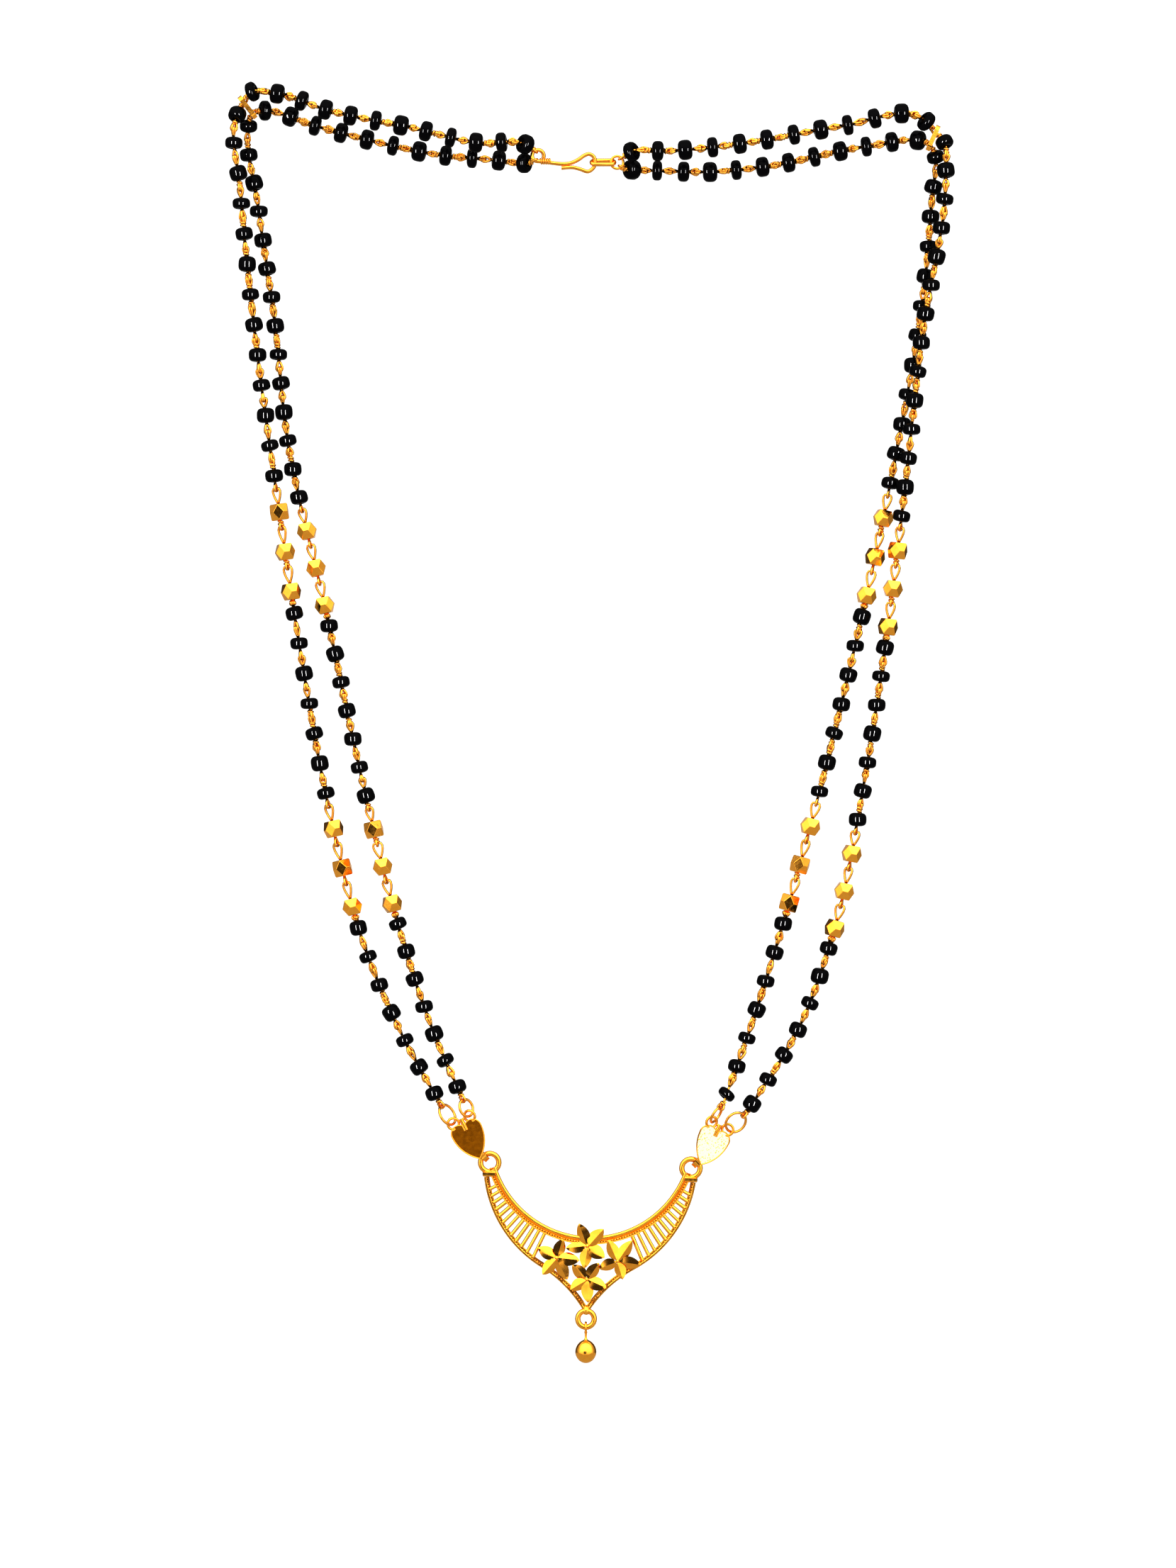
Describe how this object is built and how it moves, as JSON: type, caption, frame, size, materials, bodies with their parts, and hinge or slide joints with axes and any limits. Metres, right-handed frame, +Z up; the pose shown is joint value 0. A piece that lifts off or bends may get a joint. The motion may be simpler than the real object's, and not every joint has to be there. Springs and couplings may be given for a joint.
{
  "type": "two-strand bead necklace",
  "caption": "Mangalsutra necklace: two strands of black glass and faceted gold beads linked with gold wire, hook clasp, heart links, and a pierced crescent pendant with flowers and a ball drop.",
  "frame": {"origin": "underside of the clasp's hook, in the middle of the back stretch, where the necklace rests on the nape of the neck", "axes": "+Z up to the bends that the necklace hangs on, +X to the right of a viewer who looks at the pendant's front, +Y away from that viewer"},
  "size_m": [0.1233, 0.0073, 0.2166],
  "materials": {
    "gold": "polished yellow gold",
    "black_glass": "opaque glossy black"
  },
  "bodies": {
    "necklace": {"clasp_hook": "gold", "clasp_link": "gold", "clasp_ring": "gold", "tie_ring_left": "gold", "tie_ring_right": "gold", "back_thread_left_outer": "gold", "back_thread_left_inner": "gold", "back_thread_right_inner": "gold", "back_thread_right_outer": "gold", "side_thread_left_outer": "gold", "side_thread_left_inner": "gold", "side_thread_right_inner": "gold", "side_thread_right_outer": "gold", "back_beads_left_outer": "black_glass", "back_beads_left_inner": "black_glass", "back_beads_right_inner": "black_glass", "back_beads_right_outer": "black_glass", "side_beads_left_outer": "black_glass", "side_beads_left_inner": "black_glass", "side_beads_right_inner": "black_glass", "side_beads_right_outer": "black_glass", "gold_bead_left_outer_1": "gold", "gold_bead_left_outer_2": "gold", "gold_bead_left_outer_3": "gold", "gold_bead_left_outer_4": "gold", "gold_bead_left_outer_5": "gold", "gold_bead_left_outer_6": "gold", "gold_bead_left_inner_1": "gold", "gold_bead_left_inner_2": "gold", "gold_bead_left_inner_3": "gold", "gold_bead_left_inner_4": "gold", "gold_bead_left_inner_5": "gold", "gold_bead_left_inner_6": "gold", "gold_bead_right_inner_1": "gold", "gold_bead_right_inner_2": "gold", "gold_bead_right_inner_3": "gold", "gold_bead_right_inner_4": "gold", "gold_bead_right_inner_5": "gold", "gold_bead_right_inner_6": "gold", "gold_bead_right_outer_1": "gold", "gold_bead_right_outer_2": "gold", "gold_bead_right_outer_3": "gold", "gold_bead_right_outer_4": "gold", "gold_bead_right_outer_5": "gold", "gold_bead_right_outer_6": "gold", "jump_ring_left_outer": "gold", "jump_ring_left_inner": "gold", "jump_ring_right_inner": "gold", "jump_ring_right_outer": "gold", "heart_left": "gold", "heart_right": "gold"},
    "pendant": {"pendant": "gold", "drop": "gold"}
  },
  "joints": [
    {"name": "pendant_swing", "type": "hinge", "parent": "necklace", "child": "pendant", "pos_m": [0.00037, 0, -0.16691], "axis": [0.9996, 0, -0.0279], "range_deg": [-30, 30]}
  ]
}
